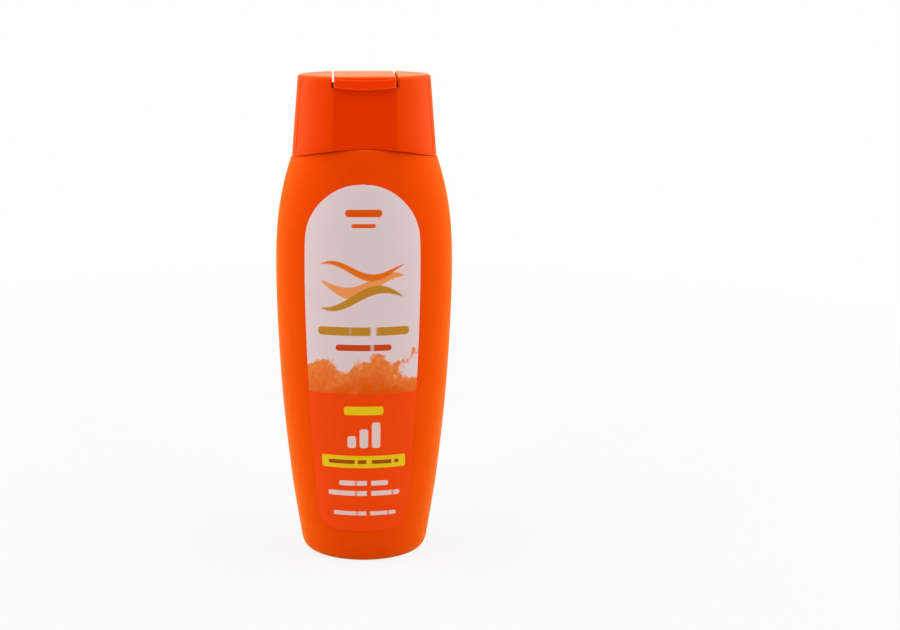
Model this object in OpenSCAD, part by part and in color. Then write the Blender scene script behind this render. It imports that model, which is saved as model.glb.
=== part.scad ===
// Oval lotion bottle with a pressed-on flip-top closure.
// Millimetres, +Z up, +X to the right as seen from the front, front towards -Y.
// The origin is on the ground under the middle of the bottle.

/* [Bottle] */
// Width of the bottle where it is widest
body_w = 63.7; // [50:0.1:80]
// Depth of the bottle, front to back, where it is deepest
body_d = 37; // [30.8:0.1:46]
// Height of the seam above the ground at the two narrow ends
body_h = 149.6; // [120:0.1:185]
// Thickness of the bottle's wall
wall = 1; // [0.8:0.1:1.4]
// How high the rounded heel reaches
heel = 6.3; // [5:0.1:8]
// How far the underside is pushed up in the middle
push_up = 1.6; // [0.8:0.1:2.4]
// Width of the ring that the bottle stands on
foot_w = 3; // [2:0.1:4.5]
// How far the seam arches up over the front and the back
seam_rise = 4; // [2.5:0.1:5.5]

/* [Neck] */
// Outer radius of the neck
neck_r = 10; // [8:0.1:10.6]
// Thickness of the neck's wall
neck_t = 1.8; // [1.2:0.1:2.4]
// Height of the neck's root above the seam's ends
neck_root = 7.6; // [6.5:0.1:9]
// How far the snap bead stands out of the neck
bead_out = 0.6; // [0.4:0.05:0.8]
// Height of the snap bead
bead_h = 2.4; // [1.6:0.1:3]

/* [Closure] */
// Height of the closure at its narrow ends
cap_h = 28.4; // [24:0.1:36]
// How much each side of the closure draws in from its foot to its top
cap_taper = 2.45; // [1.5:0.05:3.2]
// Thickness of the closure's wall
cap_wall = 1.3; // [1:0.1:1.6]
// Radius of the closure's top edge
top_r = 1.2; // [0.8:0.1:1.6]
// Gap that shows along the seam
seam_gap = 0.35; // [0.2:0.05:0.6]
// Length of the collar that grips the neck
collar_h = 11; // [9:0.1:12]
// Radius of the orifice
orifice_r = 3; // [2.5:0.1:3.6]
// Height of the nozzle round the orifice
nozzle_h = 1.4; // [1:0.1:1.6]

/* [Lid] */
// Width of the lid
lid_w = 21.3; // [18:0.1:27]
// Height of the lid
lid_h = 3.8; // [3.5:0.1:5]
// Width of the slot on each side of the lid
slot = 0.65; // [0.4:0.05:1]
// Thickness of the lid's top and sides
lid_wall = 1.2; // [1:0.1:1.4]
// How far the front lip stands out
lip_out = 0.9; // [0.7:0.05:1.3]
// How far the front lip hangs down in the middle
lip_drop = 0.8; // [0.4:0.05:1.2]

/* [Hinge] */
// Width of the hinge strap
strap_w = 4; // [3:0.1:5]
// Height of the hinge strap
strap_h = 1.9; // [1.4:0.1:2.4]
// Distance from the middle to the outer end of a wing
wing_end = 6; // [5.2:0.1:7.5]
// Height of a wing at its outer end
wing_h = 3.7; // [3:0.1:4.4]
// Height of a wing at its inner end
wing_waist = 2.4; // [2:0.1:2.9]
// Slit between the strap and a wing
hinge_slit = 0.6; // [0.4:0.05:0.8]
// Thickness of the strap and the wings
hinge_t = 0.5; // [0.4:0.05:0.8]

/* [Labels] */
// Height of a label's lower edge above the ground
label_low = 12.7; // [9:0.1:20]
// Distance from a label's top up to the seam's ends
label_below_seam = 8; // [7:0.1:25]
// Height over which a label's top is rounded
label_arch = 20; // [12:0.1:26]
// How far each label sits off its middle
label_off = -0.9; // [-1.5:0.1:1.5]
// Thickness of a label
label_t = 0.15; // [0.1:0.01:0.2]
// Radius of a label's lower corners
label_corner = 6.5; // [4:0.1:8]

/* [Hidden] */
$fn = 96;

// One overrun serves all cuts
over = 1;
// Clearance between pieces that sit inside one another
fit = 0.3;
// Clearance under the lid, and between the two halves of a hinge piece
lid_gap = 0.2;
// Gap between a label and the wall behind it, filled by its glue
glue = 0.05;

// The bottle's outline: share of body_h, share of the half width, share of the half depth
body_shares = [
    [0.00, 0.717, 0.870], [0.10, 0.790, 0.920], [0.20, 0.855, 0.962], [0.40, 0.945, 0.994],
    [0.60, 0.993, 1.000], [0.75, 1.000, 0.992], [0.85, 0.972, 0.972], [0.93, 0.905, 0.943],
    [1.00, 0.811, 0.905], [1.05, 0.740, 0.874]];
// How much of the heel's rounding the front and the back take
heel_depth_share = 0.5;
// Roundness of the heel: 2 is a circle, more is squarer
heel_power = 3.3;
// A label's half width as a share of the bottle's, at its foot and at its straight top
label_foot_share = 0.622;
label_top_share = 0.643;
// Roundness of a label's top: 2 is an ellipse, more is squarer
label_power = 2.12;
// Where the rings of the dome under the neck, of the underside and of the closure's skirt lie
dome_shares = [0, 0.3, 0.6, 0.85, 1];
under_shares = [0.45, 0.8];
skirt_shares = [0.3, 0.65];

half_w = body_w / 2;
half_d = body_d / 2;
label_high = body_h - label_below_seam;
top_z = body_h + cap_h;
part_z = top_z - lid_h;
floor_top = part_z - lid_gap;
floor_t = cap_wall;
floor_low = floor_top - floor_t;
neck_z = body_h + neck_root;
bore_r = neck_r - neck_t;
bead_z = floor_low - collar_h / 2;
nozzle_r = orifice_r + cap_wall;

// The bottle's half width and half depth at a height: a smooth curve through body_shares
function last_knot(s) = max([for (i = [0:len(body_shares) - 2]) if (i == 0 || s >= body_shares[i][0]) i]);
function slope(i, c) =
    let (lo = max(i - 1, 0), hi = min(i + 1, len(body_shares) - 1))
    (body_shares[hi][c] - body_shares[lo][c]) / (body_shares[hi][0] - body_shares[lo][0]);
function share_at(s, c) =
    let (i = last_knot(s), p = body_shares[i], q = body_shares[i + 1],
         w = q[0] - p[0], t = (s - p[0]) / w)
    p[c] * (2 * t^3 - 3 * t^2 + 1) + q[c] * (3 * t^2 - 2 * t^3)
    + slope(i, c) * w * (t^3 - 2 * t^2 + t) + slope(i + 1, c) * w * (t^3 - t^2);
function body_a(z) = half_w * share_at(z / body_h, 1);
function body_b(z) = half_d * share_at(z / body_h, 2);

// A solid whose skin runs through rings of points, closed by a pole at each end.
// Each ring has the same number of points, counter-clockwise from above.
module skin(first, rings, last) {
    n = len(rings[0]);
    m = len(rings);
    points = concat([first], [for (r = rings) each r], [last]);
    end = m * n + 1;
    faces = concat(
        [for (j = [0:n - 1]) [0, 1 + j, 1 + (j + 1) % n]],
        [for (i = [0:m - 2], j = [0:n - 1])
            let (a = 1 + i * n + j, b = 1 + i * n + (j + 1) % n)
            each [[a, a + n, b + n], [a, b + n, b]]],
        [for (j = [0:n - 1]) [end, end - n + (j + 1) % n, end - n + j]]);
    polyhedron(points, faces);
}

// The bottle: an oval skin whose rings can arch up over the front and back

bottle_sides = 56;
// The seam's edge is softened by this much, and the spigot inside the closure stands in by spigot_in
seam_soft = 0.5;
setback = 0.15;
spigot_in = setback + cap_wall + fit;
spigot_h = 1.6;

// A ring of the bottle: height, arch over the front and back, and how far in its two axes lie
function oval(z, arch = 0, in_w = 0, in_d = 0) =
    [for (i = [0:bottle_sides - 1])
        let (t = 360 * i / bottle_sides, h = z + arch * sin(t)^2)
        [(body_a(h) - in_w) * cos(t), (body_b(h) - in_d) * sin(t), h]];
function even(z, arch, inset) = oval(z, arch, inset, inset);
// A ring of the foot or underside, a share of the way out from the middle
function foot_a(inset) = body_a(0) - heel - inset;
function foot_b(inset) = body_b(0) - heel * heel_depth_share - inset;
function foot_ring(z, share, inset) =
    [for (i = [0:bottle_sides - 1])
        let (t = 360 * i / bottle_sides)
        [foot_a(inset) * share * cos(t), foot_b(inset) * share * sin(t), z]];
// A ring of the dome between the spigot (rise 0) and the neck's root (rise 1)
function dome_ring(rise, inset, drop) =
    let (out = cos(90 * rise), up = sin(90 * rise), r = neck_r + neck_t - inset)
    [for (i = [0:bottle_sides - 1])
        let (t = 360 * i / bottle_sides,
             low = body_h + spigot_h + seam_rise * sin(t)^2,
             a = body_a(low) - spigot_in - inset, b = body_b(low) - spigot_in - inset)
        [(r + (a - r) * out) * cos(t), (r + (b - r) * out) * sin(t), low + (neck_z - low) * up - drop]];
function heel_in(q) = heel * (1 - sin(q)^(2 / heel_power));
function heel_up(q) = heel * (1 - cos(q)^(2 / heel_power));
function heel_rings(inset, steps) =
    [for (k = [1:steps])
        let (q = 90 * k / steps, z = heel_up(q) * (1 - inset / heel) + inset)
        oval(z, 0, heel_in(q) + inset, heel_in(q) * heel_depth_share + inset)];

module bottle_skin() {
    foot_share = 1 - foot_w / foot_a(0);
    // The seam's arch fades in over this height below it
    fade_h = 3 * seam_rise;
    fade_steps = 4;
    straight_steps = 17;
    fade_z = body_h - fade_h;
    inner_steps = 11;
    seam = body_h - seam_gap;
    function under(share, lift) = lift + push_up * (1 - (share / foot_share)^2);
    outer_rings = concat(
        [for (s = under_shares) foot_ring(under(s * foot_share, 0), s * foot_share, 0)],
        [foot_ring(0, foot_share, 0), foot_ring(0, 1, 0)],
        heel_rings(0, 7),
        [for (k = [1:straight_steps]) even(heel + (fade_z - heel) * k / straight_steps, 0, 0)],
        [for (k = [1:fade_steps])
            let (t = k / fade_steps) even(fade_z + (seam - seam_soft - fade_z) * t, seam_rise * t^2, 0)],
        [even(seam, seam_rise, seam_soft), even(seam, seam_rise, spigot_in),
         even(seam + seam_soft, seam_rise, spigot_in)],
        [for (rise = dome_shares) dome_ring(rise, 0, 0)]);
    // Inside, from the neck's opening down to the floor
    opening = bore_r + fit;
    inner_rings = concat(
        [for (z = [neck_z, neck_z - neck_t])
            [for (i = [0:bottle_sides - 1])
                let (t = 360 * i / bottle_sides) [opening * cos(t), opening * sin(t), z]]],
        [for (i = [len(dome_shares) - 2:-1:0]) dome_ring(dome_shares[i], wall, neck_t * dome_shares[i])],
        [even(seam - seam_soft, seam_rise, spigot_in + wall), even(seam - 3 * wall, seam_rise, wall)],
        [for (k = [0:inner_steps]) even(fade_z + (heel - fade_z) * k / inner_steps, 0, wall)],
        [for (k = [4:-1:1]) heel_rings(wall, 5)[k - 1]],
        [foot_ring(wall, 1, wall / 2)],
        [for (s = [1, under_shares[0]]) foot_ring(under(s * foot_share, wall), s * foot_share, 0)]);
    skin([0, 0, push_up], concat(outer_rings, inner_rings), [0, 0, push_up + wall]);
}

module bottle_shell() {
    color("#f4560a") {
        union() {
            bottle_skin();
            neck();
        }
    }
}

// The neck, with a bead that the closure snaps over
module neck() {
    rotate_extrude()
        polygon([
            [bore_r, neck_z - neck_t / 2], [neck_r, neck_z - neck_t / 2],
            [neck_r, bead_z - bead_h / 2], [neck_r + bead_out, bead_z - bead_h / 6],
            [neck_r + bead_out, bead_z + bead_h / 6], [neck_r, bead_z + bead_h / 2],
            [neck_r, floor_low], [bore_r, floor_low]]);
}

// The closure's outline in plan is an ellipse with a flat panel, as wide as the lid, at the front and the back

flank_steps = 11;
panel_steps = 4;
cap_a = body_a(body_h) - setback;
cap_b = body_b(body_h) - setback;
panel = lid_w / 2;
function draft(z) = cap_taper * (z - body_h) / cap_h;
function quarter(a, b, dx, dy) =
    let (t0 = acos(panel / a))
    [for (k = [0:flank_steps]) let (t = t0 * k / flank_steps) [dx * a * cos(t), dy * b * sin(t) / sin(t0)]];
function reversed(list) = [for (i = [len(list) - 1:-1:0]) list[i]];
function flat_run(b, dx, dy) =
    [for (k = [1:panel_steps - 1]) [dx * panel * (1 - 2 * k / panel_steps), dy * b]];
function inner_part(list) = [for (i = [1:len(list) - 1]) list[i]];
function plan(a, b) = concat(
    quarter(a, b, 1, 1), flat_run(b, 1, 1),
    reversed(quarter(a, b, -1, 1)), inner_part(quarter(a, b, -1, -1)),
    flat_run(b, -1, -1), reversed(inner_part(quarter(a, b, 1, -1))));
// A ring of the closure: height, arch over the front and back, and inset from the outer face.
// Where the ring arches up, the draft draws it in a little more.
function cap_ring(z, arch, inset) =
    let (a = cap_a - draft(z) - inset, b = cap_b - draft(z) - inset)
    [for (p = plan(a, b))
        let (rise = arch * (1 - (p[0] / a)^2), drawn = draft(z + rise) - draft(z))
        [p[0], p[1] * (1 - drawn / b), z + rise]];

module closure_outside() {
    round_steps = 5;
    rings = concat(
        [cap_ring(body_h, seam_rise, 2 * cap_wall), cap_ring(body_h, seam_rise, 0)],
        [for (s = skirt_shares) cap_ring(body_h + (cap_h - top_r) * s, seam_rise * (1 - s), 0)],
        [for (k = [0:round_steps])
            let (q = 90 * k / round_steps)
            cap_ring(top_z - top_r * (1 - sin(q)), 0, top_r * (1 - cos(q)))]);
    skin([0, 0, body_h + seam_rise], rings, [0, 0, top_z]);
}

module closure_hollow() {
    high = top_z - cap_wall;
    skin([0, 0, body_h - over - fit],
        [cap_ring(body_h - over, seam_rise, cap_wall), cap_ring(high - cap_wall, 0, cap_wall),
         cap_ring(high, 0, 2 * cap_wall)],
        [0, 0, high]);
}

module x_slab(half, low, high) {
    translate([-half, -body_d, low])
        cube([2 * half, 2 * body_d, high - low]);
}

module tube(r_out, r_in, low, high) {
    rotate_extrude()
        polygon([[r_in, low], [r_out, low], [r_out, high], [r_in, high]]);
}

collar_r = neck_r + bead_out + fit / 2;
collar_out = collar_r + cap_wall;
collar_low = floor_low - collar_h;
catch_z = bead_z - bead_h / 2 - lid_gap;
catch_out = bead_out - fit / 2;
seal_r = bore_r - fit / 3;
seal_t = cap_wall * 0.8;
seal_h = 3.5;

// The collar's own bead lies under the neck's bead
module catch_bead() {
    rotate_extrude()
        polygon([
            [collar_r, catch_z], [collar_r - catch_out, catch_z - bead_h / 4],
            [collar_r - catch_out, catch_z - bead_h / 2], [collar_r, catch_z - bead_h],
            [collar_out, catch_z - bead_h], [collar_out, catch_z]]);
}

module ribs() {
    for (side = [-1, 1])
        translate([side > 0 ? collar_r + cap_wall / 2 : -body_w, -cap_wall / 2, collar_low])
            cube([body_w - collar_r - cap_wall / 2, cap_wall, floor_low + over - collar_low]);
}

module closure_base() {
    channel = panel + slot;
    color("#f2500a")
        difference() {
            union() {
                difference() {
                    closure_outside();
                    difference() {
                        closure_hollow();
                        x_slab(channel + cap_wall, floor_low, top_z + over);
                        tube(collar_out, collar_r, collar_low, floor_low + floor_t / 2);
                        tube(seal_r, seal_r - seal_t, floor_low - seal_h, floor_low + floor_t / 2);
                        ribs();
                    }
                    x_slab(channel, floor_top, top_z + over);
                }
                catch_bead();
                tube(nozzle_r, orifice_r, floor_top - floor_t / 2, floor_top + nozzle_h);
            }
            translate([0, 0, floor_low - over])
                cylinder(r = orifice_r, h = floor_t + nozzle_h + 2 * over);
        }
}

// The lid is the closure's flat panel carried over the top, so its section is the same all along its width

function cap_face(z) = cap_b - draft(z);
module lid_section(inset, low) {
    round_steps = 6;
    face = cap_face(low) - inset;
    arc = [for (k = [0:round_steps])
        let (q = 90 * k / round_steps, z = top_z - inset - top_r * (1 - sin(q)))
        [cap_face(z) - inset - top_r * (1 - cos(q)), z]];
    polygon(concat([[face, low]], arc, [for (p = reversed(arc)) [-p[0], p[1]]], [[-face, low]]));
}

module across(width) {
    rotate([90, 0, 90])
        linear_extrude(height = width, center = true)
            children();
}

// The front lip: its lower edge sags in the middle, and below the parting it stays clear of the base
module lip() {
    lip_steps = 12;
    lip_top = top_z - top_r;
    sag = [for (k = [0:lip_steps])
        let (s = 2 * k / lip_steps - 1) [panel * s, part_z - lip_drop * (1 - s^2)]];
    translate([0, -cap_face(part_z) + lid_wall / 2, 0])
        rotate([90, 0, 0])
            linear_extrude(height = lip_out + lid_wall / 2)
                polygon([[-panel, part_z], [panel, part_z], [panel, lip_top], [-panel, lip_top]]);
    translate([0, -cap_face(part_z) - lid_gap, 0])
        rotate([90, 0, 0])
            linear_extrude(height = lip_out - lid_gap)
                polygon(concat(sag, [[panel, lip_top], [-panel, lip_top]]));
}

plug_r = orifice_r - fit / 2;
plug_deep = 0.6;

module plug() {
    tip = floor_top + nozzle_h - plug_deep;
    translate([0, 0, tip])
        cylinder(r1 = plug_r * 0.7, r2 = plug_r, h = plug_deep / 2);
    translate([0, 0, tip + plug_deep / 2])
        cylinder(r = plug_r, h = top_z - lid_wall / 2 - tip - plug_deep / 2);
}

module flip_lid() {
    color("#f4560a")
        union() {
            difference() {
                union() {
                    across(lid_w) lid_section(0, part_z);
                    lip();
                }
                across(lid_w - 2 * lid_wall) lid_section(lid_wall, part_z - over - lip_drop);
            }
            plug();
        }
}

// The bow-tie hinge lies on the closure's back panel, and turns about its own outer face

hinge_slope = atan(cap_taper / cap_h);
hinge_low = part_z - lid_gap / 2;
hinge_y = cap_face(hinge_low) + hinge_t * cos(hinge_slope);
hinge_z = hinge_low + hinge_t * sin(hinge_slope);

// Lays an outline, drawn with the hinge line as its x axis, on the sloping back panel
module on_back_panel() {
    translate([0, hinge_y, hinge_z])
        rotate([90 + hinge_slope, 0, 0])
            linear_extrude(height = hinge_t)
                children();
}

module strap_half(up) {
    low = lid_gap / 2;
    high = strap_h / 2;
    color("#ff6a1c")
        on_back_panel()
            polygon([[-strap_w / 2, up * low], [strap_w / 2, up * low],
                     [strap_w / 2, up * high], [-strap_w / 2, up * high]]);
}

module wing_half(side, up) {
    low = lid_gap / 2;
    inner = strap_w / 2 + hinge_slit;
    color("#ff6a1c")
        on_back_panel()
            polygon([[side * inner, up * low], [side * wing_end, up * low],
                     [side * wing_end, up * wing_h / 2], [side * inner, up * wing_waist / 2]]);
}

// The labels lie on the bottle: rows of points share the bottle's own curve, at a small distance from it

label_rows = 30;
label_columns = 18;

function label_share(z) =
    label_foot_share + (label_top_share - label_foot_share) * (z - label_low) / (label_high - label_low);
// The outline's half width, as a share of the bottle's, with a round top and rounded lower corners
function label_reach(z) =
    let (up = (z - (label_high - label_arch)) / label_arch,
         down = (label_low + label_corner - z) / label_corner,
         low_in = down > 0 ? label_corner * (1 - sqrt(max(0, 1 - down^2))) / body_a(z) : 0)
    label_share(z) * (up > 0 ? max(0, 1 - up^label_power)^(1 / label_power) : 1) - low_in;
// Heights of the rows, closer together at the foot and at the top
function row_z(k) = label_low + (label_high - label_low) * (1 - cos(180 * k / label_rows)) / 2;
function label_point(z, f, out) =
    let (a = body_a(z), b = body_b(z), t = asin(label_reach(z) * f + label_off / a),
         n = [sin(t) / a, -cos(t) / b], l = norm(n))
    [a * sin(t) + out * n[0] / l, -b * cos(t) + out * n[1] / l, z];

module label_skin() {
    c = label_columns;
    rows = [for (k = [0:label_rows - 1]) row_z(k)];
    // One closed loop per row: across the front of the label, then back along its glued side
    loops = [for (z = rows) concat(
        [for (i = [0:c]) label_point(z, 2 * i / c - 1, glue + label_t)],
        [for (i = [c:-1:0]) label_point(z, 2 * i / c - 1, glue)])];
    n = 2 * c + 2;
    tip = label_point(label_high, 0, glue + label_t / 2);
    points = concat([for (l = loops) each l], [tip]);
    m = len(rows);
    faces = concat(
        [for (i = [0:c - 1]) each [[i, i + 1, n - 2 - i], [i, n - 2 - i, n - 1 - i]]],
        [for (i = [0:m - 2], j = [0:n - 1])
            let (a = i * n + j, b = i * n + (j + 1) % n)
            each [[a, a + n, b + n], [a, b + n, b]]],
        [for (j = [0:n - 1]) [m * n, (m - 1) * n + (j + 1) % n, (m - 1) * n + j]]);
    polyhedron(points, faces);
}

module front_label() {
    color("#e8e0dc") label_skin();
}

module back_label() {
    color("#d8480c") rotate([0, 0, 180]) label_skin();
}

bottle_shell();
closure_base();
flip_lid();
strap_half(-1);  // hinge_strap_lower
strap_half(1);  // hinge_strap_upper
wing_half(-1, -1);  // hinge_wing_left_lower
wing_half(-1, 1);  // hinge_wing_left_upper
wing_half(1, -1);  // hinge_wing_right_lower
wing_half(1, 1);  // hinge_wing_right_upper
front_label();
back_label();
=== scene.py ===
import logging
import math
from collections.abc import Sequence
from dataclasses import dataclass, field
from enum import Enum
from typing import Any

import bmesh
import bpy
import numpy as np
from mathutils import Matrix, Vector


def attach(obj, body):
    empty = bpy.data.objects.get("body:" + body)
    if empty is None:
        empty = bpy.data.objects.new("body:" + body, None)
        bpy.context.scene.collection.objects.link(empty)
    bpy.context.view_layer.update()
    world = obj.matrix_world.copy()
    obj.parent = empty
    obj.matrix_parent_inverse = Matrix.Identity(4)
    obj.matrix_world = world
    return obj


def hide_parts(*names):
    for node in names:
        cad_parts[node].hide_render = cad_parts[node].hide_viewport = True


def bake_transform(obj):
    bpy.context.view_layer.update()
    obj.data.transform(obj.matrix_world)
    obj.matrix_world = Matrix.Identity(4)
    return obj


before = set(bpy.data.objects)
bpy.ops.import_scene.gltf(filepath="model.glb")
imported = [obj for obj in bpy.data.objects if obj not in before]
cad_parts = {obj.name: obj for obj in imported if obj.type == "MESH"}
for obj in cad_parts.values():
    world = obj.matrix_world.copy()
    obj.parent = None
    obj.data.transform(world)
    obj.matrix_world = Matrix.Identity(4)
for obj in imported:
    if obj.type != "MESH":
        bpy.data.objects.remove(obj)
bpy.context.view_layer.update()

# All sizes below are in millimetres, and a mesh gets its metres as it is made
MM = 0.001
WHITE = (1, 1, 1, 1)
Array = np.ndarray
Material, Node, NodeTree, Piece = bpy.types.Material, bpy.types.Node, bpy.types.NodeTree, bpy.types.Object
log = logging.getLogger("bottle")


class Body(str, Enum):
    """The two bodies that the lid's hinge joins."""

    BOTTLE = "bottle"
    LID = "lid"


class Slot(str, Enum):
    """The record's material slots."""

    BOTTLE = "bottle_plastic"
    CLOSURE = "closure_plastic"
    FRONT = "front_label_film"
    BACK = "back_label_film"


def ease(x: Array, low: float, high: float) -> Array:
    """Rises smoothly from 0 at low to 1 at high: 3t^2 - 2t^3 at a share t of the way between them."""
    t = np.clip((np.asarray(x, float) - low) / (high - low), 0, 1)
    return t * t * (3 - 2 * t)


def between(start: Array, end: Array, shares: Array) -> Array:
    """Rows of points between two rows, (columns, 3): start + share (end - start), one row for each share."""
    return start + shares[:, None, None] * (end - start)


def crowded(low: float, high: float, count: int, pull: float) -> Array:
    """Numbers from low to high, closer at both ends: even steps, with a share pull of cosine steps."""
    way = (1 - pull) * np.linspace(-1, 1, count) - pull * np.cos(np.linspace(0, np.pi, count))
    return low + (high - low) * (1 + way) / 2


def loops(turns: Array, wide: Array, deep: Array, z: Array) -> Array:
    """Rings round the Z axis, with each column at its turn t: (wide cos t, deep sin t, z)."""
    return np.stack(np.broadcast_arrays(wide * np.cos(turns), deep * np.sin(turns), z), -1)


def circles(profile: Sequence[tuple[float, float]], turns: Array) -> Array:
    """Level circles, one for each radius and height of a profile."""
    r, z = np.array(profile, float).T[..., None]
    return loops(turns, r, r, z)


def cushion(x: Array, z: Array, wide: Sequence[Any], high: Sequence[Any],
            r: float) -> tuple[Array, Array, Array]:
    """Rounds the corners and the edges of a plate.

    With m the distance past a frame that lies r inside the plate's sides, a point past the corner's radius
    is drawn in to m = r, and the plate's height is that of a quarter circle, sqrt(1 - (m / r)^2).

    Args:
        x: The points' distances to the right.
        z: Their heights.
        wide: The plate's left and right side.
        high: Its lower and upper side.
        r: Radius of the corners and of the edges.

    Returns:
        The points' new x and z, and the share of the plate's thickness that each keeps.
    """
    core_x, core_z = np.clip(x, wide[0] + r, wide[1] - r), np.clip(z, high[0] + r, high[1] - r)
    far = np.hypot(x - core_x, z - core_z)
    keep = np.where(far > r, r / np.maximum(far, 1e-9), 1)
    height = np.sqrt(np.clip(1 - (np.minimum(far, r) / r) ** 2, 0, 1))
    return core_x + (x - core_x) * keep, core_z + (z - core_z) * keep, height


class Skin:
    """Gathers grids of points, in millimetres, and makes one closed mesh of them."""

    def __init__(self) -> None:
        """Starts with no points."""
        self.points: list[Array] = []
        self.faces: list[Array] = []
        self.values: dict[str, list[Array]] = {}
        self.count = 0

    def grid(self, points: Array, around: bool = False, gaps: Array | None = None, **values: Array) -> Array:
        """Adds a grid and a face in each of its cells.

        A face's outer side is the one from which its columns run to the right and its rows up.

        Args:
            points: Points, (rows, columns, 3).
            around: Whether the last column joins the first.
            gaps: True in each cell that gets no face.
            values: Named vectors for the points, each (rows, columns, 3).

        Returns:
            The points' numbers, (rows, columns).
        """
        rows, columns = points.shape[:2]
        numbers = self.count + np.arange(rows * columns).reshape(rows, columns)
        left = numbers if around else numbers[:, :-1]
        right = np.roll(numbers, -1, axis=1) if around else numbers[:, 1:]
        cells = np.stack([left[:-1], right[:-1], right[1:], left[1:]], -1)
        self.faces.append(cells[~gaps] if gaps is not None else cells.reshape(-1, 4))
        self.points.append(points.reshape(-1, 3))
        for name, value in values.items():
            self.values.setdefault(name, []).append(value.reshape(-1, 3))
        self.count += rows * columns
        return numbers

    def slab(self, outer: Array, inner: Array, **values: Array) -> None:
        """Adds a closed plate: an outer grid, an inner grid of the same shape, and the rim between them.

        Args:
            outer: Points of the side that shows, (rows, columns, 3).
            inner: Points of the hidden side, (rows, columns, 3).
            values: Named vectors that the two sides share.
        """
        top = self.grid(outer, **values)
        low = self.grid(inner[:, ::-1], **{name: value[:, ::-1] for name, value in values.items()})[:, ::-1]

        def rim(numbers: Array) -> Array:
            """The numbers of a grid's border, once round."""
            sides = numbers[0, :-1], numbers[:-1, -1], numbers[-1, :0:-1], numbers[:0:-1, 0]
            return np.concatenate(sides)

        a, b = rim(low), rim(top)
        self.faces.append(np.stack([a, np.roll(a, -1), np.roll(b, -1), b], -1))

    def make(self, name: str, sharp_deg: float = 40) -> Piece:
        """Makes the mesh object: points that coincide become one, and edges over an angle shade sharp.

        Args:
            name: Name of the object.
            sharp_deg: Angle in degrees.

        Returns:
            The object, at the origin.
        """
        mesh = bpy.data.meshes.new(name)
        points, faces = np.concatenate(self.points) * MM, np.concatenate(self.faces)
        mesh.from_pydata(points.tolist(), [], faces.tolist())
        for key, parts in self.values.items():
            layer = mesh.attributes.new(key, "FLOAT_VECTOR", "POINT")
            layer.data.foreach_set("vector", np.concatenate(parts).astype(np.float32).ravel())
        work = bmesh.new()
        work.from_mesh(mesh)
        bmesh.ops.remove_doubles(work, verts=work.verts, dist=2e-6)
        bmesh.ops.dissolve_degenerate(work, dist=1e-7, edges=work.edges)
        work.to_mesh(mesh)
        work.free()
        mesh.polygons.foreach_set("use_smooth", np.ones(len(mesh.polygons), bool))
        mesh.set_sharp_from_angle(angle=math.radians(sharp_deg))
        mesh.update()
        piece = bpy.data.objects.new(name, mesh)
        bpy.context.scene.collection.objects.link(piece)
        return piece


def linear(code: str) -> tuple[float, float, float, float]:
    """Turns an sRGB hex colour to linear: c / 12.92 when dark, else ((c + 0.055) / 1.055) ^ 2.4.

    Args:
        code: Six hex digits.

    Returns:
        Red, green, blue and alpha.
    """
    parts = [int(code[i:i + 2], 16) / 255 for i in (0, 2, 4)]
    red, green, blue = (c / 12.92 if c <= 0.04045 else ((c + 0.055) / 1.055) ** 2.4 for c in parts)
    return red, green, blue, 1.0


def add(tree: NodeTree, kind: str, inputs: dict[str | int, Any] | None = None, **settings: Any) -> Node:
    """Adds one node.

    Args:
        tree: Node tree that gets it.
        kind: Type of the node, without its leading ShaderNode.
        inputs: Value, node or socket for each named or numbered input.
        settings: The node's own settings.

    Returns:
        The node.
    """
    node = tree.nodes.new("ShaderNode" + kind)
    for name, value in settings.items():
        setattr(node, name, value)
    for key, value in (inputs or {}).items():
        if isinstance(key, int):
            socket = node.inputs[key]
        else:
            socket = next(s for s in node.inputs if s.enabled and s.name == key)
        if isinstance(value, Node):
            value = next(s for s in value.outputs if s.enabled)
        if isinstance(value, bpy.types.NodeSocket):
            tree.links.new(value, socket)
        else:
            socket.default_value = value
    return node


def emptied(data: Material | bpy.types.World) -> NodeTree:
    """Empties the node tree of a material or a world.

    Args:
        data: The material or the world.

    Returns:
        The node tree.
    """
    data.use_nodes = True
    data.node_tree.nodes.clear()
    return data.node_tree


def per_mm(size: float) -> float:
    """Noise scale, on Object coordinates in metres, whose features are this many millimetres wide."""
    return 1 / (size * MM)


@dataclass(frozen=True)
class Finish:
    """What all finishes share: a name, and a surface that each kind shades in its own way."""

    name: str

    def shader(self, tree: NodeTree) -> Node:
        """Adds the surface's shader to a tree, and returns it."""
        raise NotImplementedError

    def material(self) -> Material:
        """Makes the material."""
        material = bpy.data.materials.new(self.name)
        tree = emptied(material)
        add(tree, "OutputMaterial", {"Surface": self.shader(tree)})
        return material


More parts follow.
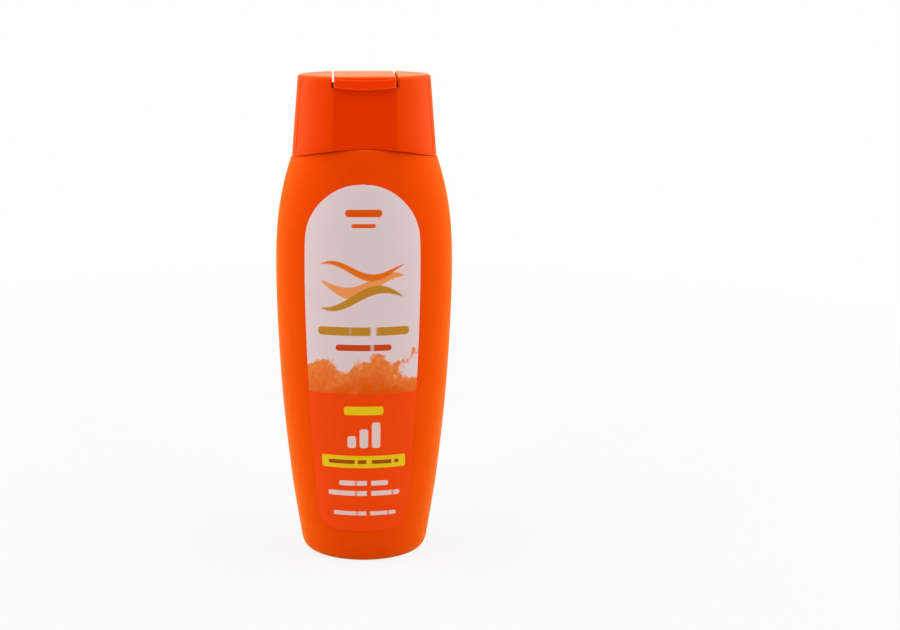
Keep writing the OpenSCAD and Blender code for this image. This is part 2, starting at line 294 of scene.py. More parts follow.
@dataclass(frozen=True)
class MouldedPlastic(Finish):
    """A dyed polyolefin as it leaves its mould: satin, a touch uneven in colour, with a fine grain."""

    colour: str
    deep_colour: str
    roughness: float
    # Width of the grain that the mould's blasted steel leaves, drawn as coarse as it needs to show
    grain: float
    grain_depth: float
    # Length and depth of the slow waves where the wall cooled unevenly
    wave: float
    wave_depth: float
    # Length over which the dye varies
    cloud: float = 38
    ior: float = 1.5
    # The values of the grain's noise that count, and how far they lift and lower the roughness
    grain_span: tuple[float, float] = (0.3, 0.7)
    rough_swing: float = 0.03
    # How strong the gloss is, 0.5 for a polished face. The dye close under the surface tints it
    gloss: float = 0.06
    gloss_tint: str = "FFE600"
    # Light that enters the slightly milky wall and leaves it again where it turns away from the eye
    glow: float = 0.38
    glow_tint: str = "FFE600"
    glow_spread: float = 0.65

    def shader(self, tree: NodeTree) -> Node:
        """Adds the shader: a cloudy dye, slow waves with fine grain over them, and a tinted gloss.

        Args:
            tree: Node tree of the material.

        Returns:
            The shader.
        """
        place = add(tree, "TexCoord").outputs["Object"]
        cloud, grain, wave = (
            add(tree, "TexNoise", {"Vector": place, "Scale": per_mm(size), "Detail": detail})
            for size, detail in ((self.cloud, 2), (self.grain, 3), (self.wave, 1)))
        dyes = {"Factor": cloud, "A": linear(self.colour), "B": linear(self.deep_colour)}
        rough = add(tree, "MapRange", {
            "Value": grain, "From Min": self.grain_span[0], "From Max": self.grain_span[1],
            "To Min": self.roughness - self.rough_swing, "To Max": self.roughness + self.rough_swing})
        slow = add(tree, "Bump", {"Height": wave, "Strength": 1, "Distance": self.wave_depth * MM})
        relief = {"Height": grain, "Strength": 1, "Distance": self.grain_depth * MM, "Normal": slow}
        return add(tree, "BsdfPrincipled", {
            "Base Color": add(tree, "Mix", dyes, data_type="RGBA"), "Roughness": rough, "IOR": self.ior,
            "Specular IOR Level": self.gloss, "Specular Tint": linear(self.gloss_tint),
            "Sheen Weight": self.glow, "Sheen Roughness": self.glow_spread,
            "Sheen Tint": linear(self.glow_tint), "Normal": add(tree, "Bump", relief)})


@dataclass(frozen=True)
class MattCard(Finish):
    """Matt white card without gloss: white to the camera by its own glow, and it still takes a soft shadow.

    Only the camera sees the glow. The bottle has no metal and no glass, so its gloss mirrors the lit card.
    """

    colour: str = "CCCCCC"
    # How much of the white is glow under the bottle, and between which distances that rises to all of it
    near_glow: float = 0.86
    near: float = 200
    far: float = 520

    def shader(self, tree: NodeTree) -> Node:
        """Adds the shader: diffuse card and glow, mixed by the distance from the middle.

        Args:
            tree: Node tree of the material.

        Returns:
            The shader.
        """
        seen = add(tree, "LightPath").outputs["Is Camera Ray"]
        away = add(tree, "VectorMath", {0: add(tree, "TexCoord").outputs["Object"]}, operation="LENGTH")
        share = add(tree, "MapRange", {
            "Value": away.outputs["Value"], "From Min": self.near * MM, "From Max": self.far * MM,
            "To Min": self.near_glow, "To Max": 1})
        glowing = add(tree, "Math", {0: seen, 1: share}, operation="MULTIPLY")
        card = add(tree, "BsdfDiffuse", {"Color": linear(self.colour)})
        glow = add(tree, "Emission", {"Color": WHITE, "Strength": 1})
        return add(tree, "MixShader", {0: glowing, 1: card, 2: glow})


@dataclass(frozen=True)
class Bar:
    """A plain printed bar with rounded corners: its middle, its size and its corner radius."""

    u: float
    z: float
    wide: float
    high: float
    corner: float


@dataclass(frozen=True)
class Lines:
    """A block of thin printed dashes: even lines broken at random."""

    left: float
    right: float
    # Height of the first line's middle, distance from line to line, and number of lines
    top: float
    pitch: float
    count: int
    thick: float
    # Where the last line ends
    last: float
    # Length of a dash, and how much of a line is gaps
    dash: float = 2.6
    gaps: float = 0.44


class Press:
    """Prints flat inks on a film, one over another, in the film's own millimetres."""

    # Half the width over which an ink's edge fades
    edge = 0.06
    # Half the range of the noise over which a dash ends, and by how many dashes the lines' noises lie apart
    torn = 0.02
    apart = 7.3
    # A line's thickness over its corner radius
    blunt = 2.2

    def __init__(self, tree: NodeTree, ground: str) -> None:
        """Starts with a film of one colour.

        Args:
            tree: Node tree of the material.
            ground: Hex colour of the film.
        """
        self.tree = tree
        self.place = add(tree, "Attribute", attribute_name="place").outputs["Vector"]
        self.parts = add(tree, "SeparateXYZ", {"Vector": self.place}).outputs
        self.colour: Any = linear(ground)

    def ink(self, mask: Node, colour: Any) -> None:
        """Prints a colour, a hex code or a node that gives one, wherever the mask is 1."""
        over = linear(colour) if isinstance(colour, str) else colour
        self.colour = add(self.tree, "Mix", {"Factor": mask, "A": self.colour, "B": over}, data_type="RGBA")

    def under(self, value: Any, level: float) -> Node:
        """Mask of all places where a value is under a level, fading over the ink's edge."""
        limits = {"From Min": level - self.edge, "From Max": level + self.edge, "To Min": 1, "To Max": 0}
        return add(self.tree, "MapRange", {"Value": value, **limits})

    def inside(self, spot: Any, half: Sequence[float], corner: float) -> Node:
        """Mask of a rounded bar, where the length of max(|spot| - (half - corner), 0) is under its corner.

        Args:
            spot: Position from the bar's middle.
            half: Half width and half height.
            corner: Corner radius.

        Returns:
            A node that is 1 inside and 0 outside.
        """
        core = (half[0] - corner, half[1] - corner, 0)
        away = add(self.tree, "VectorMath", {0: spot}, operation="ABSOLUTE")
        past = add(self.tree, "VectorMath", {0: away, 1: core}, operation="SUBTRACT")
        past = add(self.tree, "VectorMath", {0: past, 1: (0, 0, 0)}, operation="MAXIMUM")
        far = add(self.tree, "VectorMath", {0: past}, operation="LENGTH").outputs["Value"]
        return self.under(far, corner)

    def mask(self, block: Bar | Lines) -> Node:
        """Mask of a bar or of a block of broken lines.

        Each point takes the nearest line, k = round((top - z) / pitch) kept within the block. The line is
        a bar round that height, and a noise that differs from line to line breaks it into dashes.

        Args:
            block: The bar or the lines.

        Returns:
            A node that is 1 on the bar or on the dashes.
        """
        tree, u, z = self.tree, self.parts["X"], self.parts["Y"]
        if isinstance(block, Bar):
            spot = add(tree, "VectorMath", {0: self.place, 1: (block.u, block.z, 0)}, operation="SUBTRACT")
            return self.inside(spot, (block.wide / 2, block.high / 2), block.corner)
        drop = add(tree, "Math", {0: block.top, 1: z}, operation="SUBTRACT")
        steps = add(tree, "Math", {0: drop, 1: block.pitch}, operation="DIVIDE")
        nearest = add(tree, "Math", {0: steps}, operation="ROUND")
        row = add(tree, "Clamp", {"Value": nearest, "Min": 0, "Max": block.count - 1})
        off = add(tree, "Math", {0: row, 1: -block.pitch, 2: drop}, operation="MULTIPLY_ADD")
        along = add(tree, "Math", {0: u, 1: (block.left + block.right) / 2}, operation="SUBTRACT")
        spot = add(tree, "CombineXYZ", {"X": along, "Y": off})
        bar = self.inside(spot, ((block.right - block.left) / 2, block.thick / 2), block.thick / self.blunt)
        own = add(tree, "Math", {0: row, 1: block.dash * self.apart}, operation="MULTIPLY")
        way = add(tree, "CombineXYZ", {"X": along, "Y": own})
        noise = add(tree, "TexNoise", {"Vector": way, "Scale": 1 / block.dash, "Detail": 0},
                    noise_dimensions="2D")
        dashes = add(tree, "MapRange", {
            "Value": noise, "From Min": block.gaps - self.torn, "From Max": block.gaps + self.torn})
        early = add(tree, "Math", {0: row, 1: block.count - 1.5}, operation="LESS_THAN")
        short = add(tree, "Math", {0: u, 1: block.last}, operation="LESS_THAN")
        kept = add(tree, "Math", {0: early, 1: short}, operation="MAXIMUM")
        mask = add(tree, "Math", {0: bar, 1: dashes}, operation="MULTIPLY")
        return add(tree, "Math", {0: mask, 1: kept}, operation="MULTIPLY")

    def stamp(self, colour: str, *blocks: Bar | Lines) -> None:
        """Prints bars and blocks of lines in one colour."""
        for block in blocks:
            self.ink(self.mask(block), colour)


@dataclass(frozen=True)
class PrintedFilm(Finish):
    """A self-adhesive polyethylene film, printed and varnished: smooth, with a soft even gloss."""

    ground: str
    roughness: float = 0.42
    ior: float = 1.5
    # The varnish over the warm inks gives them back their own colour in the gloss
    gloss_tint: str = "FFC040"
    # Waves where the film lies over the blown wall
    wave: float = 14
    wave_depth: float = 0.02

    def artwork(self, press: Press) -> None:
        """Prints the film. A plain film has no print."""

    def shader(self, tree: NodeTree) -> Node:
        """Adds the shader: the artwork under a tinted gloss, with slow waves.

        Args:
            tree: Node tree of the material.

        Returns:
            The shader.
        """
        press = Press(tree, self.ground)
        self.artwork(press)
        place = add(tree, "TexCoord").outputs["Object"]
        wave = add(tree, "TexNoise", {"Vector": place, "Scale": per_mm(self.wave), "Detail": 1})
        bump = add(tree, "Bump", {"Height": wave, "Strength": 1, "Distance": self.wave_depth * MM})
        return add(tree, "BsdfPrincipled", {
            "Base Color": press.colour, "Roughness": self.roughness, "IOR": self.ior, "Normal": bump,
            "Specular Tint": linear(self.gloss_tint)})


@dataclass(frozen=True)
class FrontFilm(PrintedFilm):
    """The front label: a pale field, a washed edge and a warm orange field, with plain bars and bands."""

    # Height of the line between the pale field and the warm one, and half the width over which a band fades
    split: float = 66.3
    band_soft: float = 0.15
    warm: str = "FF4206"
    wash_pale: str = "FA9A5A"
    wash_mid: str = "F37119"
    wash_deep: str = "ED5507"
    # Washed edge: lowest height, how far the slow noise and the fine one lift it, their sizes, the
    # distance over which its top fades, and the height over which it deepens
    wash_foot: float = 66.5
    wash_swing: float = 20
    wash_rag: float = 4
    wash_wave: float = 11
    wash_grain: float = 1.6
    wash_soft: float = 1.6
    wash_high: float = 13
    gold: str = "C98A2C"
    red: str = "D2401A"
    yellow: str = "F2CF1E"
    blush: str = "F0D2CE"
    brown: str = "A8480A"

    def wash(self, press: Press) -> None:
        """Prints a soft watery edge: a slow noise lifts and lowers its top, and a fine one mottles it.

        Args:
            press: Where it is printed.
        """
        tree = press.tree
        slow, fine = (
            add(tree, "TexNoise", {"Vector": press.place, "Scale": 1 / size, "Detail": detail},
                noise_dimensions="2D")
            for size, detail in ((self.wash_wave, 3), (self.wash_grain, 4)))
        ragged = add(tree, "Math", {0: fine, 1: self.wash_rag, 2: self.wash_foot}, operation="MULTIPLY_ADD")
        edge = add(tree, "Math", {0: slow, 1: self.wash_swing, 2: ragged}, operation="MULTIPLY_ADD")
        depth = add(tree, "Math", {0: edge, 1: press.parts["Y"]}, operation="SUBTRACT")
        amount = add(tree, "MapRange", {"Value": depth, "From Min": 0, "From Max": self.wash_soft})
        tone = add(tree, "MapRange", {"Value": depth, "From Min": 0, "From Max": self.wash_high})
        colour: Any = linear(self.wash_pale)
        for factor, over in ((fine, self.wash_mid), (tone, self.wash_deep)):
            colour = add(tree, "Mix", {"Factor": factor, "A": colour, "B": linear(over)}, data_type="RGBA")
        press.ink(amount, colour)

    def artwork(self, press: Press) -> None:
        """Prints the wash, the warm field, three flowing bands, and plain bars and dashes.

        Args:
            press: Where it is printed.
        """
        self.wash(press)
        bands = add(press.tree, "Attribute", attribute_name="bands").outputs["Vector"]
        depths = add(press.tree, "SeparateXYZ", {"Vector": bands}).outputs
        soft = self.band_soft
        for axis, colour in zip("XYZ", (self.wash_pale, self.gold, self.wash_mid)):
            limits = {"Value": depths[axis], "From Min": -soft, "From Max": soft}
            press.ink(add(press.tree, "MapRange", limits), colour)
        press.ink(press.under(press.parts["Y"], self.split), self.warm)
        press.stamp(self.wash_deep, Bar(0.4, 131.6, 13, 2.6, 1.3), Bar(0.4, 127.2, 8.5, 1.4, 0.7))
        press.stamp(self.gold, Lines(-16, 16.8, 89.4, 6, 1, 3.1, 17, 7, 0.36))
        press.stamp(self.red, Lines(-9.6, 10.4, 83.4, 6, 1, 2.3, 11, 6, 0.34))
        press.stamp(self.yellow, Bar(0.4, 59.9, 14.2, 3.2, 0.8), Bar(0.4, 40.3, 30.8, 4.7, 0.8))
        press.stamp(self.brown, Lines(-12.5, 13.3, 40.3, 6, 1, 1.5, 14, 4, 0.4))
        press.stamp(
            self.blush, Bar(-3.9, 48, 3.1, 4.6, 0.9), Bar(0.5, 49.3, 3.1, 7.2, 0.9),
            Bar(4.9, 50.6, 3.1, 9.8, 0.9), Lines(-8.6, 9.4, 32, 6, 1, 1.9, 10, 4, 0.38),
            Lines(-13, 13.8, 28, 6, 1, 1.9, 14, 4, 0.38), Lines(-11.6, 12.4, 20, 6, 1, 1.6, 13, 3.4, 0.38))


@dataclass(frozen=True)
class BackFilm(PrintedFilm):
    """The back label: a deep orange field with blocks of thin pale dashes, plain shapes and a bar panel."""

    pale: str = "FFB89C"
    white: str = "F1DFDA"
    dark: str = "5A2A1C"
    # Distance from bar to bar in the panel
    stripe: float = 1.5

    def artwork(self, press: Press) -> None:
        """Prints the blocks, the shapes and the panel.

        Args:
            press: Where it is printed.
        """
        press.stamp(
            self.pale, Bar(0, 132.4, 12, 2.4, 1.2), Lines(-18.3, 17.3, 123.7, 4.6, 2, 1.9, 16.4, 6, 0.36),
            Lines(-18.9, 18.6, 115.6, 1.82, 4, 0.8, 6), Lines(-18.6, 18.2, 107.7, 1.75, 4, 0.8, -1),
            Lines(-18.4, 18.4, 100.2, 1.82, 5, 0.8, -9), Lines(-17.6, 18.2, 90.4, 1.78, 5, 0.8, 18.2),
            Lines(-17.6, 17.4, 80.9, 1.96, 13, 0.8, -11), Lines(-15.8, 16.1, 52.4, 1.9, 2, 0.8, 16),
            Lines(-13.5, 14.2, 48.4, 1.95, 3, 0.8, 14), Lines(-8.2, 9.3, 42.6, 1.9, 1, 0.8, 9.3),
            Lines(-12, 13.4, 14.6, 1.9, 1, 0.9, 13.4))
        press.stamp(
            self.white, Bar(-10.6, 37, 5, 5, 2.5), Bar(-2.8, 37, 4.8, 4.8, 1), Bar(4.9, 37, 3, 5.4, 1.5),
            Bar(12.4, 37, 5.2, 3.2, 0.5), Bar(0.5, 24.8, 27.8, 14.4, 0.6))
        press.stamp(self.ground, Bar(-10.6, 37, 2.6, 2.6, 1.3))
        tree = press.tree
        turn = add(tree, "Math", {0: press.parts["X"], 1: 2 * math.pi / self.stripe}, operation="MULTIPLY")
        wave = add(tree, "Math", {0: turn}, operation="SINE")
        stripes = add(tree, "Math", {0: wave, 1: 0}, operation="GREATER_THAN")
        block = press.mask(Bar(0.5, 24.8, 23.6, 10, 0.2))
        press.ink(add(tree, "Math", {0: stripes, 1: block}, operation="MULTIPLY"), self.dark)


@dataclass(frozen=True)
class Outline:
    """The bottle's outline: its half width and half depth at each height."""

    wide: float = 63.7
    deep: float = 37
    # Height of the seam above the ground at the two narrow ends, and how far it arches up over the front
    seam: float = 149.6
    arch: float = 4
    # Share of the seam's height, share of the half width, share of the half depth
    knots: tuple[tuple[float, float, float], ...] = (
        (0.00, 0.717, 0.870), (0.10, 0.790, 0.920), (0.20, 0.855, 0.962), (0.40, 0.945, 0.994),
        (0.60, 0.993, 1.000), (0.75, 1.000, 0.992), (0.85, 0.972, 0.972), (0.93, 0.905, 0.943),
        (1.00, 0.811, 0.905), (1.05, 0.740, 0.874))

    def spans(self, z: Array) -> tuple[Array, Array]:
        """A cubic through the knots, whose slope at each is that of the chord between its neighbours.

        Args:
            z: Heights.

        Returns:
            Half widths and half depths.
        """
        knots = np.array(self.knots)
        chords = np.array([*knots[1:], knots[-1]]) - np.array([knots[0], *knots[:-1]])
        slopes = chords[:, 1:] / chords[:, :1]
        s = np.asarray(z, float) / self.seam
        i = np.clip(np.searchsorted(knots[:, 0], s, side="right") - 1, 0, len(knots) - 2)
        step = knots[i + 1, 0] - knots[i, 0]
        t = ((s - knots[i, 0]) / step)[..., None]
        shares = (knots[i, 1:] * (2 * t**3 - 3 * t**2 + 1) + knots[i + 1, 1:] * (3 * t**2 - 2 * t**3)
                  + step[..., None] * (slopes[i] * (t**3 - 2 * t**2 + t) + slopes[i + 1] * (t**3 - t**2)))
        return shares[..., 0] * self.wide / 2, shares[..., 1] * self.deep / 2


@dataclass
class Bottle:
    """The blow-moulded bottle: one skin from the underside up the outside, over the neck and down inside."""

    outline: Outline
    finish: MouldedPlastic
    wall: float = 1
    heel: float = 6.3
    # Roundness of the heel, 2 for a circle, and the share of it that the front and the back take
    heel_power: float = 3.3
    heel_depth: float = 0.5
    push_up: float = 1.6
    foot_w: float = 3
    seam_gap: float = 0.35
    seam_soft: float = 0.3
    # The shelf behind the seam's gap rises to a land under the closure, so that the gap shows as a groove
    groove_in: float = 0.5
    land: float = 0.24
    land_slope: float = 0.08
    spigot_in: float = 1.75
    spigot_h: float = 1.6
    neck_r: float = 10
    neck_t: float = 1.8
    neck_z: float = 157.2
    neck_top: float = 172.7
    bead_z: float = 167.2
    bead_out: float = 0.6
    bead_h: float = 2.4
    fit: float = 0.3
    # Share of the dome's rise at which its inner side meets the neck's bore
    root_share: float = 0.85
    # The mould's parting line: a faint ridge up both ends, which starts over a stretch of height, and the
    # pinched weld across the underside, which ends over a share of the way out
    ridge: float = 0.05
    ridge_w: float = 0.3
    ridge_start: tuple[float, float] = (3, 12)
    weld: float = 0.35
    weld_w: float = 0.7
    weld_ends: tuple[float, float] = (0.8, 0.98)
    columns: int = 240
    turns: Array = field(init=False)

    def __post_init__(self) -> None:
        """Sets the angles of a ring's points, closer together at the two ends: t = u - sin(2u) / 4."""
        u = np.arange(self.columns) * 2 * np.pi / self.columns
        self.turns = u - np.sin(2 * u) / 4

    @property
    def seam(self) -> float:
        """Height of the bottle's shoulder edge at its two ends, under the seam's gap."""
        return self.outline.seam - self.seam_gap

    @property
    def fade_z(self) -> float:
        """Height from which the rings rise ever more towards the seam's arch."""
        return self.outline.seam - 3 * self.outline.arch

    @property
    def foot_share(self) -> float:
        """Share of the foot that the push-up takes, inside the ring on which the bottle stands."""
        return 1 - self.foot_w / (self.outline.spans(np.zeros(1))[0][0] - self.heel)

    def ovals(self, z: Any, arch: Any = 0, in_w: Any = 0, in_d: Any = 0) -> Array:
        """Rings of the bottle: ((a(h) - in_w) cos t, (b(h) - in_d) sin t, h), with h = z + arch sin^2 t.

        Args:
            z: Height of each ring at the two ends.
            arch: How far it rises over the front and the back.
            in_w: How far in its ends lie.
            in_d: How far in its front and back lie.

        Returns:
            The rings, (rows, columns, 3).
        """
        z, arch, in_w, in_d = (v[:, None] for v in np.broadcast_arrays(np.atleast_1d(z), arch, in_w, in_d))
        h = z + arch * np.sin(self.turns) ** 2
        a, b = self.outline.spans(h)
        return loops(self.turns, a - in_w, b - in_d, h)

    def foot(self, shares: Array, z: Array, inset: float = 0) -> Array:
        """Level rings of the foot: (A s cos t, B s sin t, z), with A and B the half spans inside the heel.

        Args:
            shares: Share s of the way out from the middle, for each ring.
            z: Height of each ring.
            inset: How far in the foot's edge lies.

        Returns:
            The rings, (rows, columns, 3).
        """
        a, b = self.outline.spans(np.zeros(1))
        s = shares[:, None]
        wide, deep = a - self.heel - inset, b - self.heel * self.heel_depth - inset
        return loops(self.turns, wide * s, deep * s, z[:, None])

    def heel_rings(self, quarter: Array, inset: float = 0) -> Array:
        """Rings of the heel: in by heel (1 - sin(q) ^ (2 / power)), up by heel (1 - cos(q) ^ (2 / power)).

        Args:
            quarter: Angle q of each ring, 0 at the ground.
            inset: How far in they lie.

        Returns:
            The rings, (rows, columns, 3).
        """
        inward = self.heel * (1 - np.sin(quarter) ** (2 / self.heel_power))
        up = self.heel * (1 - np.cos(quarter) ** (2 / self.heel_power))
        z = up * (1 - inset / self.heel) + inset
        return self.ovals(z, 0, inward + inset, inward * self.heel_depth + inset)

    def dome(self, rise: Array, inset: float = 0, drop: float = 0) -> Array:
        """Rings from the spigot in to the neck's root: the radius shrinks as cos, the height grows as sin.

        Args:
            rise: Share of a quarter turn for each ring, 0 at the spigot.
            inset: How far in they lie.
            drop: How far down a ring at a share of 1 moves. The others move by their share of it.

        Returns:
            The rings, (rows, columns, 3).
        """
        rise = rise[:, None]
        low = self.outline.seam + self.spigot_h + self.outline.arch * np.sin(self.turns) ** 2
        a, b = self.outline.spans(low)
        r = self.neck_r + self.neck_t - inset
        out, up = np.cos(np.pi / 2 * rise), np.sin(np.pi / 2 * rise)
        wide, deep = (r + (half - self.spigot_in - inset - r) * out for half in (a, b))
        return loops(self.turns, wide, deep, low + (self.neck_z - low) * up - drop * rise)

    def outside(self) -> Array:
        """Rings from the middle of the underside to the neck's root."""
        arch = self.outline.arch
        # The push-up with its pinched weld, and the ring on which the bottle stands
        s = np.linspace(0, 1, 15)
        under = self.foot(s * self.foot_share, self.push_up * (1 - s**2))
        pinch = np.exp(-(under[..., 1] / self.weld_w) ** 2) * (1 - ease(s, *self.weld_ends))[:, None]
        under[..., 2] -= self.weld * pinch
        level = self.foot(np.linspace(self.foot_share, 1, 4)[1:], np.zeros(3))
        # The wall, with the parting line up both ends
        t = np.linspace(0, 1, 17)[1:]
        outer = np.concatenate([
            self.heel_rings(np.linspace(0, np.pi / 2, 29)[1:]),
            self.ovals(np.linspace(self.heel, self.fade_z, 82)[1:]),
            self.ovals(self.fade_z + (self.seam - self.seam_soft - self.fade_z) * t, arch * t**2)])
        near = np.exp(-(outer[..., 1] / self.ridge_w) ** 2) * ease(outer[..., 2], *self.ridge_start)
        outer[..., 0] += np.sign(outer[..., 0]) * self.ridge * near
        # The soft shoulder edge, and the groove and the land behind the seam's gap
        q, soft = np.linspace(0, np.pi / 2, 7)[1:], self.seam_soft
        shelf_in = [self.groove_in, self.groove_in + self.land_slope, *[self.spigot_in] * 3]
        inward = np.array([*soft * (1 - np.cos(q)), *shelf_in])
        up = np.array([*soft * (np.sin(q) - 1), 0, self.land, self.land, soft, soft])
        shoulder = self.ovals(self.seam + up, arch, inward, inward)
        return np.concatenate([under, level, outer, shoulder, self.dome(np.linspace(0, 1, 22))])

    def neck(self) -> Array:
        """Circles up the neck, over its snap bead and its rim, and down its bore."""
        r, low, top, bore = self.neck_r, self.neck_z, self.neck_top, self.neck_r - self.neck_t
        root, soft = 0.8, 0.3
        # The bead's half section: share of its width out, and share of its half height from its middle
        half_bead = np.array([(0, 1), (0.8, 0.5), (1, 0.25)]) * (self.bead_out, self.bead_h / 2)
        rise = half_bead * (1, -1) + (r, self.bead_z)
        fall = half_bead[::-1] + (r, self.bead_z)
        return circles([
            (r + root, low), (r + root / 4, low + root / 4), (r, low + root), *rise, *fall,
            (r, top - soft), (r - soft / 3, top - soft / 3), (r - soft, top),
            (bore + soft, top), (bore + soft / 3, top - soft / 3), (bore, top - soft),
            (bore, low), (bore + self.fit, low - self.neck_t)], self.turns)

    def inside(self) -> Array:
        """Rings from the neck's bore down to the middle of the floor, a wall's thickness inside."""
        s = np.linspace(1, 0, 5)
        deep = self.spigot_in + self.wall
        return np.concatenate([
            self.dome(np.linspace(self.root_share, 0, 7), self.wall, self.neck_t),
            self.ovals(self.seam - self.seam_soft, self.outline.arch, deep, deep),
            self.ovals(self.seam - 3 * self.wall, self.outline.arch, self.wall, self.wall),
            self.ovals(np.linspace(self.fade_z, self.heel, 24), 0, self.wall, self.wall),
            self.heel_rings(np.linspace(np.pi / 2, 0, 7)[1:-1], self.wall),
            self.foot(np.ones(1), np.full(1, self.wall), self.wall / 2),
            self.foot(s * self.foot_share, self.wall + self.push_up * (1 - s**2))])

    def build(self) -> list[Piece]:
        """Makes the bottle in place of its CAD node."""
        skin = Skin()
        skin.grid(np.concatenate([self.outside(), self.neck(), self.inside()]), around=True)
        piece = skin.make("bottle_wall", sharp_deg=35)
        fit_out(piece, self.finish.material(), Slot.BOTTLE, Body.BOTTLE, "bottle_shell")
        return [piece]


def fit_out(piece: Piece, material: Material, slot: Slot, body: Body | None, *nodes: str) -> None:
    """Gives a piece its material and its body, and hides the CAD nodes that it stands for.

    Args:
        piece: The piece.
        material: Its material.
        slot: The record's slot. Not used.
        body: Its body, or None for a piece between the two, which is left unattached.
        nodes: Names of the CAD nodes.
    """
    piece.data.materials.append(material)
    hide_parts(*nodes)
    if body is not None:
        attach(piece, body.value)


@dataclass(frozen=True)
class CapForm:
    """The closure's drafted form: an oval with a flat panel, as wide as the lid, at its front and back."""

    outline: Outline
    high: float = 28.4
    taper: float = 2.45
    setback: float = 0.15
    top_r: float = 1.2
    wall: float = 1.3
    panel: float = 10.65
    slot: float = 0.65
    lid_h: float = 3.8
    lid_gap: float = 0.2

    @property
    def foot(self) -> float:
        """Height of the closure's foot at its two ends."""
        return self.outline.seam

    @property
    def top(self) -> float:
        """Height of the closure's top."""
        return self.foot + self.high

    @property
    def part(self) -> float:
        """Height of the lid's lower edge."""
        return self.top - self.lid_h

    @property
    def floor(self) -> float:
        """Height of the channel's floor."""
        return self.part - self.lid_gap

    @property
    def channel(self) -> float:
        """Half width of the channel that the lid lies in."""
        return self.panel + self.slot

    def draft(self, z: Array) -> Array:
        """How far each side has drawn in at a height."""
        return self.taper * (z - self.foot) / self.high

    def axes(self, z: Array, inset: Any = 0) -> tuple[Array, Array]:
        """Half width and half depth of the oval at a height."""
        a, b = self.outline.spans(np.full(1, self.outline.seam))
        return a[0] - self.setback - self.draft(z) - inset, b[0] - self.setback - self.draft(z) - inset

    def face(self, z: Array) -> Array:
        """Distance of the front and back panels from the middle."""
        return self.axes(z)[1]

    def edge_y(self, x: Array, a: Array, b: Array) -> Array:
        """Half depth at x: b on the panel, b sqrt(1 - (x/a)^2) / sin t beside it, with cos t = panel/a."""
        sine = np.sqrt(1 - (self.panel / a) ** 2)
        return np.where(np.abs(x) <= self.panel, b, b * np.sqrt(np.clip(1 - (x / a) ** 2, 0, 1)) / sine)


